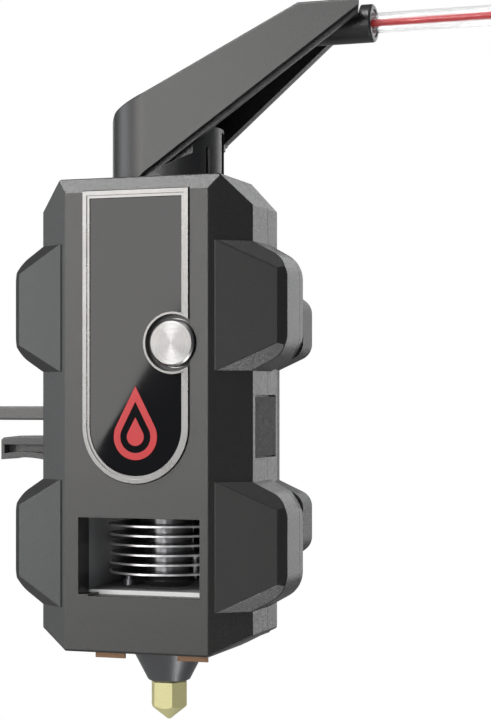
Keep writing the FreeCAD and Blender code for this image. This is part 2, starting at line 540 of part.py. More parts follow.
node("grip_bar", fuse(bar, tenon))

node("encoder_wheel", toothed_wheel("encoder_r - 0.05", "encoder_axle_r + running_gap", "16", 0.3,
                                    "-7.6", "-4.8", "encoder_x", "encoder_z"))
node("encoder_axle", fuse(rod("Y", "encoder_axle_r", "encoder_x", ("chassis_y", "-4.2"), "encoder_z"),
                          rod("Y", "1.9", "encoder_x", ("-4.7", "-4.2"), "encoder_z")))
guide = cut(box(("-3", "3"), ("-8.7", "-3.3"), ("drive_z + 8", "encoder_z - 6")),
            rod("Z", "filament_r + 0.2", "0", "axis_y", ("0", "top_z")))
node("filament_guide", guide)
node("feed_filament", rod("Z", "filament_r", "0", "axis_y", ("-18", "top_z + 12")))

# ---------------------------------------------------------------------------
# Contacts on the docking face, and screws
# ---------------------------------------------------------------------------
node("contact_block", box(("-9", "9"), ("rear_y + 0.2", "-0.4"), ("14", "24")))
node("contact_pads", group(*[rod("Y", "0.9", f"-6.4 + {column_step} * 3.2", ("-0.4", "-0.1"),
                                 f"16.6 + {row_step} * 4.8")
                             for column_step in range(5) for row_step in range(2)]))


def screw(x, z, length, head_y):
    """A pan-head screw driven along -Y, with a cross recess in its head."""
    head = rod("Y", "2.3", x, (head_y, f"({head_y}) + 1.5"), z)
    recess_cross = [box((f"({x}) - {a}", f"({x}) + {a}"), (f"({head_y}) + 0.8", f"({head_y}) + 2"),
                        (f"({z}) - {b}", f"({z}) + {b}")) for a, b in ((1.3, 0.25), (0.25, 1.3))]
    return cut(fuse(head, rod("Y", "1.3", x, (f"({head_y}) - {length}", head_y), z)), *recess_cross)


node("shell_screws", group(*[screw(x, z, 12, "rear_y") for x, z in SHELL_SCREWS]))
node("plate_screws", group(*[screw(x, z, 5, "-1.6") for x, z in PLATE_SCREWS]))

# ---------------------------------------------------------------------------
# Heat sink, duct, fan and hot end
# ---------------------------------------------------------------------------
FINS = 8
fins = []
for k in range(FINS):
    low = f"fin_low_z + {k} * fin_pitch"
    fins.append(rod("Z", "fin_r", "0", "axis_y", (low, f"{low} + fin_thick")))
sink_core = turned([(0, "collar_low_z"), ("collar_r - 1.2", "collar_low_z"), ("collar_r",
                                                                              "collar_low_z + 1.3"),
                    ("collar_r - 0.4", "collar_low_z + 2.1"), ("neck_r", "collar_low_z + 2.6"),
                    ("neck_r", "fin_low_z + 0.3"), ("core_r", "fin_low_z + 0.3"),
                    ("core_r", "fin_low_z + fin_pitch * 7"), ("neck_r", "fin_low_z + fin_pitch * 7 + 2"),
                    ("neck_r", "-11.6"), (0, "-11.6")])
node("heat_sink", cut(fuse(sink_core, *fins), rod("Z", "liner_r", "0", "axis_y", ("-42", "-11"))))
node("throat_liner", cut(rod("Z", "liner_r", "0", "axis_y", ("-36", "-11.6")),
                         rod("Z", "filament_r + 0.1", "0", "axis_y", ("-42", "-11"))))
break_bore = rod("Z", "filament_r + 0.1", "0", "axis_y", ("-60", "-30"))
node("heat_break", cut(fuse(rod("Z", "liner_r", "0", "axis_y", ("block_top - 1", "-36.1")),
                            rod("Z", "3", "0", "axis_y", ("block_top - 4", "block_top"))), break_bore))
duct_outer = box(("-duct_half - duct_wall", "duct_half + duct_wall"), ("jamb_y + 0.1", "9.2"),
                 ("insulator_low", "duct_top + duct_wall"))
duct_inner = box(("-duct_half", "duct_half"), ("jamb_y - 1", "10"), ("insulator_low - 1", "duct_top"))
node("air_duct", cut(duct_outer, duct_inner, rod("Z", "neck_r + 0.1", "0", "axis_y", ("duct_top - 1",
                                                                                      "duct_top + 3"))))
node("insulator_board", cut(box(("-duct_half + 0.1", "duct_half - 0.1"), ("jamb_y + 0.1", "9.2"),
                                ("insulator_low", "insulator_top")),
                            rod("Z", "liner_r + 0.3", "0", "axis_y", ("insulator_low - 1",
                                                                      "insulator_top + 1"))))
node("collar_screw", fuse(rod("Z", "1.5", "-9.6", "axis_y - 3", ("insulator_top", "insulator_top + 1.6")),
                          rod("Z", "0.9", "-9.6", "axis_y - 3", ("insulator_top", "insulator_top + 2.4"))))

block = rounded(box(("-block_half", "block_half"), ("axis_y - block_half", "axis_y + block_half"),
                    ("block_low", "block_top")), "edge_round", lambda edge: edge.BoundBox.ZLength > 5)
heater_place = ("axis_y + 5.2", "-47.5")
probe_place = ("axis_y - 5.4", "-49")
node("heater_block", cut(block, rod("Z", "3", "0", "axis_y", ("-60", "-40")),
                         rod("X", "2.1", ("-12", "12"), *heater_place), rod("X", "1", ("0", "12"),
                                                                            *probe_place)))
node("heater_cartridge", rod("X", "2.1", ("-10.5", "8.4"), *heater_place))
node("thermistor", rod("X", "1", ("1", "10"), *probe_place))
shield_sheet = box(("-shield_half", "shield_half"), ("shield_front", "-3.2"), ("bottom_z",
                                                                               "bottom_z + shield_sheet"))
shield_lip = cut(box(("-shield_half", "shield_half"), ("shield_front", "shield_front + shield_sheet"),
                     ("lip_low", "bottom_z + shield_sheet")),
                 box(("-lip_notch", "lip_notch"), ("shield_front - 1", "shield_front + 2"), ("lip_low - 1",
                                                                                             "bottom_z")))
node("heat_shield", cut(fuse(shield_sheet, shield_lip),
                        rod("Z", "shroud_core_r + 0.4", "0", "axis_y", ("bottom_z - 1", "bottom_z + 2"))))
node("nozzle_shroud", turned([("3.1", "shroud_low"), ("shroud_low_r - 0.9", "shroud_low"), ("shroud_low_r",
                                                                                            "shroud_low + 0.5"),
                              ("shroud_top_r", "shroud_top"), ("shroud_core_r", "shroud_top"),
                              ("shroud_core_r", "block_low - 0.1"), ("3.6", "block_low - 0.1"), ("3.6",
                                                                                                 "block_low - 3"),
                              ("6.4", "block_low - 4.5"), ("3.1", "shroud_low + 2")]))

hexagon = prism("XY_Plane", [("hex_flat / 2 / sqrt(3)", "-hex_flat / 2"), ("hex_flat / sqrt(3)", "0"),
                             ("hex_flat / 2 / sqrt(3)", "hex_flat / 2"), ("-hex_flat / 2 / sqrt(3)",
                                                                          "hex_flat / 2"),
                             ("-hex_flat / sqrt(3)", "0"), ("-hex_flat / 2 / sqrt(3)", "-hex_flat / 2")],
                "hex_low", "hex_top")
bind(hexagon, Placement__Base__y="axis_y")
hex_limit = turned([(0, "hex_low"), ("hex_flat / 2", "hex_low"), ("hex_flat / 2 + 0.8", "hex_low + 0.8"),
                    ("hex_flat / 2 + 0.8", "hex_top"), (0, "hex_top")])
stem = rod("Z", "3", "0", "axis_y", ("hex_top", "block_low + 4"))
point = cone("Z", "tip_r", "hex_flat / 2", "0", "axis_y", ("tip_z", "hex_low"))
orifice = rod("Z", "orifice_r", "0", "axis_y", ("tip_z - 1", "tip_z + 1.5"))
node("nozzle", cut(fuse(common(hexagon, hex_limit), stem, point), orifice,
                   rod("Z", "filament_r + 0.1", "0", "axis_y", ("tip_z + 1.5", "-40"))))

fan_y = ("fan_front_y", "fan_front_y + fan_thick")
fan_case = box(("-fan_half", "fan_half"), fan_y, ("fan_z - fan_half", "fan_z + fan_half"))
fan_holes = [rod("Y", "1.6", f"{a} * 12", ("fan_front_y - 1", "nose_y"), f"fan_z + {b} * 12") for a in (-1,
                                                                                                        1) for b in (-1, 1)]
spokes = [box(("-14.3", "14.3"), ("fan_front_y + fan_thick - 1", "fan_front_y + fan_thick"), ("fan_z - 0.8",
                                                                                              "fan_z + 0.8")),
          box(("-0.8", "0.8"), ("fan_front_y + fan_thick - 1", "fan_front_y + fan_thick"), ("fan_z - 13.9",
                                                                                            "fan_z + 13.9")),
          rod("Y", "4.5", "0", ("fan_front_y + fan_thick - 1", "fan_front_y + fan_thick"), "fan_z"),
          rod("Y", "1", "0", ("fan_front_y + 1.8", "fan_front_y + fan_thick"), "fan_z")]
bored_case = cut(fan_case, rod("Y", "fan_bore_r", "0", ("fan_front_y - 1", "nose_y"), "fan_z"), *fan_holes)
node("fan_frame", fuse(bored_case, *spokes))
node("fan_screws", group(*[rod("Y", "1.5", f"{a} * 12", ("fan_front_y", "nose_y - nose_wall"),
                               f"fan_z + {b} * 12")
                           for a in (-1, 1) for b in (-1, 1)]))
BLADES = 7
blades = []
for k in range(BLADES):
    blade = doc.addObject("Part::Box", "Blade")
    bind(blade, Length="blade_r - hub_r + 1", Width=0.7, Height=4.6)
    pitch = Rotation(Vector(1, 0, 0), 50)
    around = Rotation(Vector(0, 1, 0), 360 / BLADES * k)
    centre = Vector(size("hub_r") - 1, 0.35, 0)
    spin = around.multiply(pitch)
    hub_middle = Vector(0, size("fan_front_y") + 3.3, size("fan_z"))
    blade.Placement = Placement(hub_middle + around.multVec(centre) - spin.multVec(Vector(0, 0.35, 2.3)),
                                spin)
    blades.append(blade)
hub = cut(rod("Y", "hub_r", "0", ("fan_front_y + 0.8", "fan_front_y + fan_thick - 1.3"), "fan_z"),
          rod("Y", "1 + running_gap", "0", ("fan_front_y + 1.7", "nose_y"), "fan_z"))
node("fan_rotor", fuse(hub, *blades))

# ---------------------------------------------------------------------------
# Swivel and filament guide arm
# ---------------------------------------------------------------------------
node("swivel_bush", cut(fuse(rod("Z", "bush_r", "0", "axis_y", ("top_z - wall - 1.6", "top_z")),
                             rod("Z", "bush_r + 1.6", "0", "axis_y", ("top_z - wall - 1.6",
                                                                      "top_z - wall - 0.02"))),
                        rod("Z", "spigot_r + running_gap", "0", "axis_y", ("top_z - 8", "top_z + 1"))))


def hood_solid(gap, low_drop, soft_corner=False):
    """The arm's inverted trough as a full solid: its side view joined with its plan view. Its
    round end runs smoothly into the side walls, and only the outside has a soft top corner."""
    far, near = f"(hood_half - ({gap}))", f"(hood_end_r - ({gap}))"
    side = prism("XZ_Plane", [(f"-{near}", f"tower_low_z"), (f"-{near}", f"74.6 - ({gap}) * 0.4"),
                              (f"-11.4 + ({gap}) * 0.7", f"78.1 - ({gap}) * 0.7"),
                              (f"-1.9 + ({gap}) * 0.4", f"82 - ({gap}) * 0.9"), (f"3.7 + ({gap}) * 0.4",
                                                                                 f"84.7 - ({gap}) * 0.9"),
                              (f"37.7 + ({gap}) * 0.2", f"hood_top_z - ({gap})"), (f"53.4 - ({gap}) * 0.6",
                                                                              f"hood_top_z - ({gap})"),
                              (f"53.4 - ({gap}) * 0.6", f"100.2 - {low_drop}"), ("-1.9",
                                                                                 f"62.2 - {low_drop} * 0.85"),
                              ("-3.4", "tower_low_z")], "axis_y - 20", "axis_y + 20")
    if soft_corner:
        side = rounded(side, "hood_corner_r", lambda edge: edge.BoundBox.YLength > 5
                       and edge.BoundBox.XMax < -10 and edge.BoundBox.ZMin > size("tower_low_z") + 5)
    plan = fuse(rod("Z", far, "hood_end_x", "axis_y", ("tower_low_z - 1", "110")),
                box(("hood_end_x", "60"), (f"axis_y - {far}", f"axis_y + {far}"), ("tower_low_z - 1", "110")))
    return common(side, plan)


hood_outer = hood_solid("0", "0", soft_corner=True)
hood_block = rounded(hood_outer, "edge_round", lambda edge: edge.BoundBox.ZMin > 70 and edge.Length > 4
                     and edge.BoundBox.ZMax - edge.BoundBox.ZMin < 20)
under_hood = hood_solid("hood_wall", "12")
liner_outer = hood_solid("hood_wall + liner_gap", "liner_drop")
under_liner = hood_solid("hood_wall + liner_gap + liner_wall", "14")
# the socket is flat on top where it lies under the roof, and the room for it spares the roof
above_socket = box(("socket_in_x - 1", "socket_flat_x"), ("axis_y - 6", "axis_y + 6"),
                   ("hood_top_z - hood_wall - 0.1", "hood_top_z + 3"))
socket_room = cut(rod("X", "socket_r + 0.05", ("socket_in_x - 0.1", "60"), "axis_y", "socket_z"), above_socket)
# the open end of the trough is cut off slanting, shortest on the far side
slanted_end = prism("XY_Plane", [("53.3", "-hood_half - 1"), ("60", "-hood_half - 1"), ("60", "hood_half + 1"),
                                 ("44.5", "hood_half + 1")], "80", "110")
bind(slanted_end, Placement__Base__y="axis_y")
# the far side wall of the trough is cut back along a steeper line than the near one
far_cutback = prism("XZ_Plane", [("11.1", "71.4"), ("42.2", "98.2"), ("60", "98.2"), ("60", "tower_low_z"),
                                 ("11.1", "tower_low_z")], "axis_y + 9.9", "axis_y + 20")
node("arm_hood", cut(hood_block, under_hood, socket_room, far_cutback, slanted_end))
node("arm_liner", cut(liner_outer, under_liner, socket_room, far_cutback, slanted_end))

tower_drum = rod("Z", "tower_r", "0", "axis_y", ("tower_low_z", "74"))
tower_core = rod("Z", "tower_core_r", "0", "axis_y", ("tower_low_z", "75"))
hood_shadow = prism("XZ_Plane", [("-tower_r - 5", "tower_low_z - 1"), ("-4", "tower_low_z - 1"), ("-2.2",
                                                                                                  "60.5"),
                                 ("tower_r + 6", "72.1"), ("tower_r + 6", "100"), ("-tower_r - 5", "100")],
                    "axis_y - 20", "axis_y + 20")
drum_below_hood = cut(tower_drum, hood_shadow)
drum_in_hood = common(tower_drum, box(("2", "tower_r + 1"), ("axis_y - 9.6", "axis_y + 9.6"), ("tower_low_z",
                                                                                               "74")))
flange = rod("Z", "spigot_r", "0", "axis_y", ("top_z - 5.6", "tower_low_z"))
groove = cut(rod("Z", "spigot_r + 1", "0", "axis_y", ("top_z - 5", "top_z - 4.2")),
             rod("Z", "spigot_r - 0.6", "0", "axis_y", ("top_z - 6", "top_z")))
tower_bore = rod("Z", "filament_r + 0.6", "0", "axis_y", ("top_z - 8", "110"))
tower_slots = [box(("11.4", "tower_r + 1"), ("axis_y - 6.5", "axis_y - 5.3"), ("tower_low_z + 1.5",
                                                                               "tower_low_z + 8")),
               box(("12.2", "tower_r + 1"), ("axis_y + 0.6", "axis_y + 4.2"),
                   ("tower_low_z + 0.6", "tower_low_z + 12.4"))]
node("arm_tower", cut(fuse(drum_below_hood, drum_in_hood, tower_core, flange), groove, tower_bore,
                      *tower_slots))
node("retaining_clip", cut(rod("Z", "spigot_r + 1.6", "0", "axis_y", ("top_z - 5", "top_z - 4.2")),
                           rod("Z", "spigot_r - 0.6", "0", "axis_y", ("top_z - 6", "top_z")),
                           box(("-2", "2"), ("axis_y - 12", "axis_y"), ("top_z - 6", "top_z"))))

tube_bore = rod("X", "tube_r", ("50", "60"), "axis_y", "socket_z")
socket_blank = rounded(rod("X", "socket_r", ("socket_in_x", "socket_out_x"), "axis_y", "socket_z"),
                       "edge_round",
                       lambda edge: on_plane(edge, "X", size("socket_out_x")))
node("tube_socket", cut(socket_blank, above_socket, rod("X", "3.4", ("socket_out_x - 2.4", "60"), "axis_y", "socket_z"),
                        tube_bore,
                        rod("X", "filament_r + 0.3", ("socket_in_x - 1", "60"), "axis_y", "socket_z")))
node("tube_collet", cut(rod("X", "3.35", ("socket_out_x - 2.3", "socket_out_x - 0.3"), "axis_y", "socket_z"),
                        tube_bore))
tube_span = ("50.05", "tube_end_x")
node("guide_tube", cut(rod("X", "tube_r - 0.02", tube_span, "axis_y", "socket_z"),
                       rod("X", "tube_bore_r", ("39", "100"), "axis_y", "socket_z")))
node("tube_filament", rod("X", "filament_r", ("socket_in_x + 1", "tube_end_x + 2"), "axis_y", "socket_z"))
fitting = fuse(rod("X", "fitting_r", ("tube_end_x - 5", "fitting_end_x - 3.5"), "axis_y", "socket_z"),
               rod("X", "fitting_r - 1.2", ("fitting_end_x - 3.5", "fitting_end_x"), "axis_y", "socket_z"))
node("tube_fitting", cut(fitting, rod("X", "tube_r - 0.02", ("tube_end_x - 6", "tube_end_x"), "axis_y",
                                      "socket_z"),
                         rod("X", "tube_r + 0.05", ("tube_end_x + 3", "fitting_end_x + 1"), "axis_y",
                             "socket_z"),
                         rod("X", "filament_r + 0.1", ("tube_end_x - 1", "fitting_end_x"), "axis_y",
                             "socket_z")))

# ---------------------------------------------------------------------------
# Check every object, then write each sub-part
# ---------------------------------------------------------------------------
doc.recompute()
failed = [item.Name for item in doc.Objects if {"Invalid", "Error"} & set(item.State)]
broken = [name for name, item in NODES.items() if item.Shape.isNull() or not item.Shape.isValid()]
if failed or broken:
    raise RuntimeError(f"failed: {failed}; broken: {broken}")

os.makedirs("parts", exist_ok=True)
for name, item in NODES.items():
    item.Shape.exportStep(f"parts/{name}.step")
    print(name, len(item.Shape.Solids), round(item.Shape.Volume, 1))
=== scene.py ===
import json
import math

import bmesh
import bpy
from mathutils import Matrix, Vector


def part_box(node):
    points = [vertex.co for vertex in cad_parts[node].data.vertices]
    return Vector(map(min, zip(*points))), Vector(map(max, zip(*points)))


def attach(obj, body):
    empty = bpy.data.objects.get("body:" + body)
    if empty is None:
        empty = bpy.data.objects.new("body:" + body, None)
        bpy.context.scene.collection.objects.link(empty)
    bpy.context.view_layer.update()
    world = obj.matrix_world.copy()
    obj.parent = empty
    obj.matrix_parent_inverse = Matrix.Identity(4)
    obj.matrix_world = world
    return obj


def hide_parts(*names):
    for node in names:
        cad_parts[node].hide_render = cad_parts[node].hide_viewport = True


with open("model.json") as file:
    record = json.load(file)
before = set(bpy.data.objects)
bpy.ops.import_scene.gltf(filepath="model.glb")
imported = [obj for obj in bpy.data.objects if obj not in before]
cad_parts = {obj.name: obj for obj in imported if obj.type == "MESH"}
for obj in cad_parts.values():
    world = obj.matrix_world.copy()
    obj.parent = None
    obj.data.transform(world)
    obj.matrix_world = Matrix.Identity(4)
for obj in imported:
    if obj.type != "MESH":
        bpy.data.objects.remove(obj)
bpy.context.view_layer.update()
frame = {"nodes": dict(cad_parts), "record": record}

MM = 0.001
scene = bpy.context.scene
NODES = frame["nodes"]

# ---------------------------------------------------------------------------
# Camera: level, right of the front, with the horizon below the middle
# ---------------------------------------------------------------------------
CAMERA_PLACE = Vector((168.0, -441.0, 5.6)) * MM
CAMERA_TURN = math.radians(18.763)
LENS, SENSOR_WIDTH = 92.44, 36
SHIFT_UP = 0.0594
CLIP_NEAR, CLIP_FAR = 0.01, 50


def make_camera():
    data = bpy.data.cameras.new("camera")
    data.sensor_width = SENSOR_WIDTH
    data.lens = LENS
    data.shift_y = SHIFT_UP
    data.clip_start, data.clip_end = CLIP_NEAR, CLIP_FAR
    camera = bpy.data.objects.new("camera", data)
    camera.location = CAMERA_PLACE
    camera.rotation_euler = (math.pi / 2, 0, CAMERA_TURN)
    scene.collection.objects.link(camera)
    scene.camera = camera


make_camera()


# ---------------------------------------------------------------------------
# Mesh helpers
# ---------------------------------------------------------------------------
def add_object(name, data, body):
    item = bpy.data.objects.new(name, data)
    scene.collection.objects.link(item)
    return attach(item, body)


def smooth_by_angle(data, degrees):
    """Smooth shading, with hard edges where faces meet at more than the angle."""
    data.shade_smooth()
    work = bmesh.new()
    work.from_mesh(data)
    for edge in work.edges:
        edge.smooth = len(edge.link_faces) == 2 and edge.calc_face_angle(0) < math.radians(degrees)
    work.to_mesh(data)
    work.free()


# ---------------------------------------------------------------------------
# Cord: the clear guide tube with the filament in it
# ---------------------------------------------------------------------------
AXIS_Y = -6.2 * MM
SOCKET_Z = 97.7 * MM
TUBE_DIAMETER = 4.86 * MM
TUBE_BORE = 3.0 * MM
TUBE_STEPS = 48
SMOOTH_DEGREES = 30
ROUTE_X = (50.05, 65, 80, 95)  # mm, from inside the socket to inside the connector
ROUTE = [Vector((x * MM, AXIS_Y, SOCKET_Z)) for x in ROUTE_X]


def route_points(points):
    """The places along a smooth NURBS curve through space, as a list of vectors in metres."""
    data = bpy.data.curves.new("route", "CURVE")
    data.dimensions = "3D"
    data.resolution_u = 8
    spline = data.splines.new("NURBS")
    spline.points.add(len(points) - 1)
    for target, place in zip(spline.points, points):
        target.co = (*place, 1)
    spline.order_u = 3
    spline.use_endpoint_u = True
    holder = bpy.data.objects.new("route", data)
    scene.collection.objects.link(holder)
    bpy.context.view_layer.update()
    mesh = bpy.data.meshes.new_from_object(holder.evaluated_get(bpy.context.evaluated_depsgraph_get()))
    places = [vertex.co.copy() for vertex in mesh.vertices]
    bpy.data.objects.remove(holder)
    bpy.data.curves.remove(data)
    bpy.data.meshes.remove(mesh)
    return places


def hollow_tube(name, path, outer, inner, body):
    """A tube with a wall, open at both ends, along a path."""
    mesh = bmesh.new()
    rings = []
    for i, place in enumerate(path):
        ahead = (path[min(i + 1, len(path) - 1)] - path[max(i - 1, 0)]).normalized()
        side = ahead.orthogonal().normalized() if i == 0 else (side - ahead * side.dot(ahead)).normalized()
        up = ahead.cross(side)
        spokes = [side * math.cos(turn) + up * math.sin(turn)
                  for turn in (math.tau * k / TUBE_STEPS for k in range(TUBE_STEPS))]
        rings.append([[mesh.verts.new(place + spoke * radius) for spoke in spokes]
                      for radius in (outer, inner)])
    loops = [ring[0] for ring in rings] + [ring[1] for ring in reversed(rings)]
    for low, high in zip(loops, loops[1:] + loops[:1]):
        for k in range(TUBE_STEPS):
            j = (k + 1) % TUBE_STEPS
            mesh.faces.new((low[k], low[j], high[j], high[k]))
    bmesh.ops.recalc_face_normals(mesh, faces=mesh.faces)
    data = bpy.data.meshes.new(name)
    mesh.to_mesh(data)
    mesh.free()
    smooth_by_angle(data, SMOOTH_DEGREES)
    return add_object(name, data, body)


tube_path = route_points(ROUTE)
guide_tube = hollow_tube("guide_tube_clear", tube_path, TUBE_DIAMETER / 2, TUBE_BORE / 2, "guide_arm")
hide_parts("guide_tube")


# ---------------------------------------------------------------------------
# Materials: noise scales are per metre, depths and radii in metres
# ---------------------------------------------------------------------------
GRAIN_SCALE, GRAIN_DEPTH, GRAIN_STRENGTH, GRAIN_CONTRAST = 3000, 0.05 * MM, 0.7, 0.12
MOTTLE_SCALE, MOTTLE_AMOUNT = 60, 0.35
PLASTIC_EDGE = 0.15 * MM
TOOLING_DEPTH = 0.004 * MM
STAIN_SCALE = 90
METAL_EDGE = 0.1 * MM
SPUN_RING_SCALE, SPUN_DEPTH, SPUN_EDGE = 9000, 0.01 * MM, 0.12 * MM
SMUDGE_SCALE, GLOSS_RIPPLE_SCALE = 45, 800
FIBRE_SCALE, FIBRE_DEPTH = 700, 0.02 * MM
FIN_LINE_SCALE, FIN_EDGE, RIM_WIDTH, RIM_INSET = 500, 0.08 * MM, 0.3 * MM, 0.35 * MM
HAZE_SCALE, HAZE_DEPTH = 300, 0.01 * MM


class Nodes:
    """A short way to wire a material's nodes."""

    def __init__(self, name):
        self.material = bpy.data.materials.new(name)
        self.material.use_nodes = True
        self.tree = self.material.node_tree
        self.shader = self.tree.nodes["Principled BSDF"]
        self.place = self.add("ShaderNodeTexCoord").outputs["Object"]

    def add(self, kind, **settings):
        node = self.tree.nodes.new(kind)
        for key, value in settings.items():
            setattr(node, key, value)
        return node

    def join(self, source, target):
        self.tree.links.new(source, target)

    def set(self, **values):
        for key, value in values.items():
            self.shader.inputs[key.replace("_", " ")].default_value = value
        return self

    def noise(self, scale, detail=3, stretch=None):
        texture = self.add("ShaderNodeTexNoise")
        texture.inputs["Scale"].default_value = scale
        texture.inputs["Detail"].default_value = detail
        place = self.place
        if stretch:
            mapping = self.add("ShaderNodeMapping")
            mapping.inputs["Scale"].default_value = stretch
            self.join(place, mapping.inputs["Vector"])
            place = mapping.outputs["Vector"]
        self.join(place, texture.inputs["Vector"])
        return texture.outputs["Fac"]

    def spread(self, factor, low, high, target):
        """Map a 0..1 factor onto a number socket."""
        node = self.add("ShaderNodeMapRange")
        node.inputs["From Min"].default_value = 0.3
        node.inputs["From Max"].default_value = 0.7
        node.inputs["To Min"].default_value = low
        node.inputs["To Max"].default_value = high
        self.join(factor, node.inputs["Value"])
        self.join(node.outputs["Result"], target)

    def blend(self, factor, dark, light):
        """A colour between two, by a factor."""
        node = self.add("ShaderNodeMix", data_type="RGBA")
        self.join(factor, node.inputs["Factor"])
        node.inputs["A"].default_value = (*dark, 1)
        node.inputs["B"].default_value = (*light, 1)
        return node.outputs["Result"]

    def bump(self, height, strength, distance, radius=0):
        node = self.add("ShaderNodeBump")
        node.inputs["Strength"].default_value = strength
        node.inputs["Distance"].default_value = distance
        self.join(height, node.inputs["Height"])
        if radius:
            edge = self.add("ShaderNodeBevel", samples=6)
            edge.inputs["Radius"].default_value = radius
            self.join(edge.outputs["Normal"], node.inputs["Normal"])
        self.join(node.outputs["Normal"], self.shader.inputs["Normal"])


def shade(colour, factor):
    return tuple(min(1, channel * factor) for channel in colour)


def grained_plastic(name, colour, roughness=0.5, specular=0.4, uneven=0.11):
    """Moulded plastic with a spark-eroded grain, faint mottling and rounded edges."""
    made = Nodes(name).set(Specular_IOR_Level=specular)
    fine, broad = made.noise(GRAIN_SCALE, 2), made.noise(MOTTLE_SCALE, 3)
    speckle = made.blend(fine, shade(colour, 1 - GRAIN_CONTRAST), shade(colour, 1 + GRAIN_CONTRAST))
    mottle = made.add("ShaderNodeMix", data_type="RGBA", blend_type="MULTIPLY")
    mottle.inputs["Factor"].default_value = MOTTLE_AMOUNT
    made.join(speckle, mottle.inputs["A"])
    made.join(made.blend(broad, (0.8, 0.8, 0.8), (1.15, 1.15, 1.15)), mottle.inputs["B"])
    made.join(mottle.outputs["Result"], made.shader.inputs["Base Color"])
    middle = roughness + 0.01
    made.spread(fine, middle - uneven, middle + uneven, made.shader.inputs["Roughness"])
    made.bump(fine, GRAIN_STRENGTH, GRAIN_DEPTH, radius=PLASTIC_EDGE)
    return made.material


def machined_metal(name, colour, roughness=0.25, stretch=(1, 1, 30), scale=400, metallic=1):
    """Turned, ground or drawn metal: fine lines along one direction."""
    made = Nodes(name).set(Metallic=metallic)
    lines, stain = made.noise(scale, 2, stretch), made.noise(STAIN_SCALE, 3)
    made.join(made.blend(lines, shade(colour, 0.88), shade(colour, 1.06)), made.shader.inputs["Base Color"])
    made.spread(stain, roughness * 0.8, roughness * 1.3, made.shader.inputs["Roughness"])
    made.bump(lines, 0.3, TOOLING_DEPTH, radius=METAL_EDGE)
    return made.material


def spun_metal(name, colour, centre):
    """A disc brushed in circles round an axis along Y."""
    made = Nodes(name).set(Metallic=1, Anisotropic=0.8)
    offset = made.add("ShaderNodeVectorMath", operation="SUBTRACT")
    offset.inputs[1].default_value = centre
    made.join(made.place, offset.inputs[0])
    flat = made.add("ShaderNodeVectorMath", operation="MULTIPLY")
    flat.inputs[1].default_value = (1, 0, 1)
    made.join(offset.outputs["Vector"], flat.inputs[0])
    length = made.add("ShaderNodeVectorMath", operation="LENGTH")
    made.join(flat.outputs["Vector"], length.inputs[0])
    rings = made.add("ShaderNodeTexNoise", noise_dimensions="1D")
    rings.inputs["Scale"].default_value = SPUN_RING_SCALE
    made.join(length.outputs["Value"], rings.inputs["W"])
    made.join(made.blend(rings.outputs["Fac"], shade(colour, 0.82), shade(colour, 1.05)),
              made.shader.inputs["Base Color"])
    made.spread(rings.outputs["Fac"], 0.22, 0.36, made.shader.inputs["Roughness"])
    made.bump(rings.outputs["Fac"], 0.4, SPUN_DEPTH, radius=SPUN_EDGE)
    tangent = made.add("ShaderNodeVectorMath", operation="CROSS_PRODUCT")
    tangent.inputs[1].default_value = (0, 1, 0)
    made.join(flat.outputs["Vector"], tangent.inputs[0])
    made.join(tangent.outputs["Vector"], made.shader.inputs["Tangent"])
    return made.material


def gloss(name, colour, roughness=0.05):
    """A smooth glossy surface with faint smudges in its roughness."""
    made = Nodes(name)
    smudge = made.noise(SMUDGE_SCALE, 4)
    made.join(made.blend(smudge, shade(colour, 0.85), shade(colour, 1.15)), made.shader.inputs["Base Color"])
    made.spread(smudge, roughness, roughness + 0.03, made.shader.inputs["Roughness"])
    made.bump(made.noise(GLOSS_RIPPLE_SCALE, 2), 0.03, TOOLING_DEPTH, radius=METAL_EDGE)
    return made.material


def fibre_board(name, shaded_top, edge):
    """A fibre board: its cut edges are bare and white, and its flat faces are painted a darker grey as
    shade.
    """
    made = Nodes(name).set(Roughness=0.75, Specular_IOR_Level=0.3)
    normal = made.add("ShaderNodeTexCoord").outputs["Normal"]
    split = made.add("ShaderNodeSeparateXYZ")
    made.join(normal, split.inputs[0])
    # mask by normal: flat faces get the painted shade colour, cut edges keep their white
    painted_shade_mask = made.add("ShaderNodeMath", operation="ABSOLUTE")
    made.join(split.outputs["Z"], painted_shade_mask.inputs[0])
    fibres = made.noise(FIBRE_SCALE, 3, (1, 6, 1))
    # painted shade: the darker grey on the flat faces stands in for shade on the board's top
    faces = made.blend(fibres, shade(shaded_top, 0.85), shade(shaded_top, 1.15))
    mix = made.add("ShaderNodeMix", data_type="RGBA")
    made.join(painted_shade_mask.outputs[0], mix.inputs["Factor"])
    mix.inputs["A"].default_value = (*edge, 1)
    made.join(faces, mix.inputs["B"])
    made.join(mix.outputs["Result"], made.shader.inputs["Base Color"])
    made.bump(fibres, 0.2, FIBRE_DEPTH)
    return made.material


